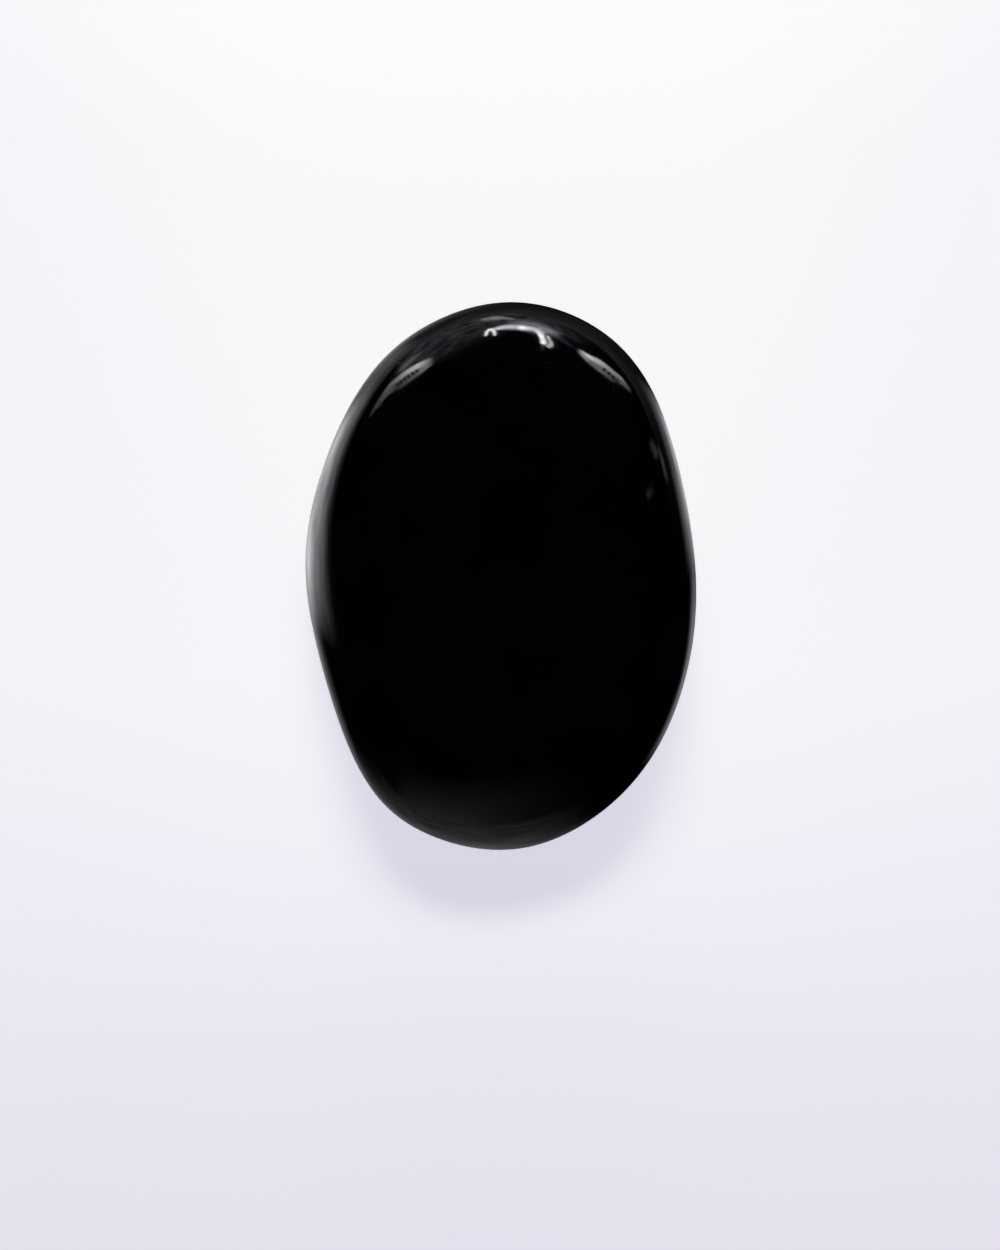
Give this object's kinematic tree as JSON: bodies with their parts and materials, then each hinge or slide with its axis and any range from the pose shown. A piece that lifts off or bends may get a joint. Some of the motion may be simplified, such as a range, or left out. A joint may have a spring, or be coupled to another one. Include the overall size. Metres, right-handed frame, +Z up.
{
  "type": "tumbled black agate stone",
  "caption": "Oval pebble of glossy black agate, tumbled and polished, lying on its flattest side; a loose mineral specimen or ornament.",
  "frame": {"origin": "on the surface the stone lies on, below the middle of its bounding box", "axes": "+Y along the stone's length towards its narrower end, +Z up through the crown, +X across its width"},
  "size_m": [0.0214, 0.03, 0.013],
  "materials": {
    "black_agate": "tumble polished, high gloss"
  },
  "bodies": {
    "root": {"agate_stone": "black_agate"}
  },
  "joints": []
}
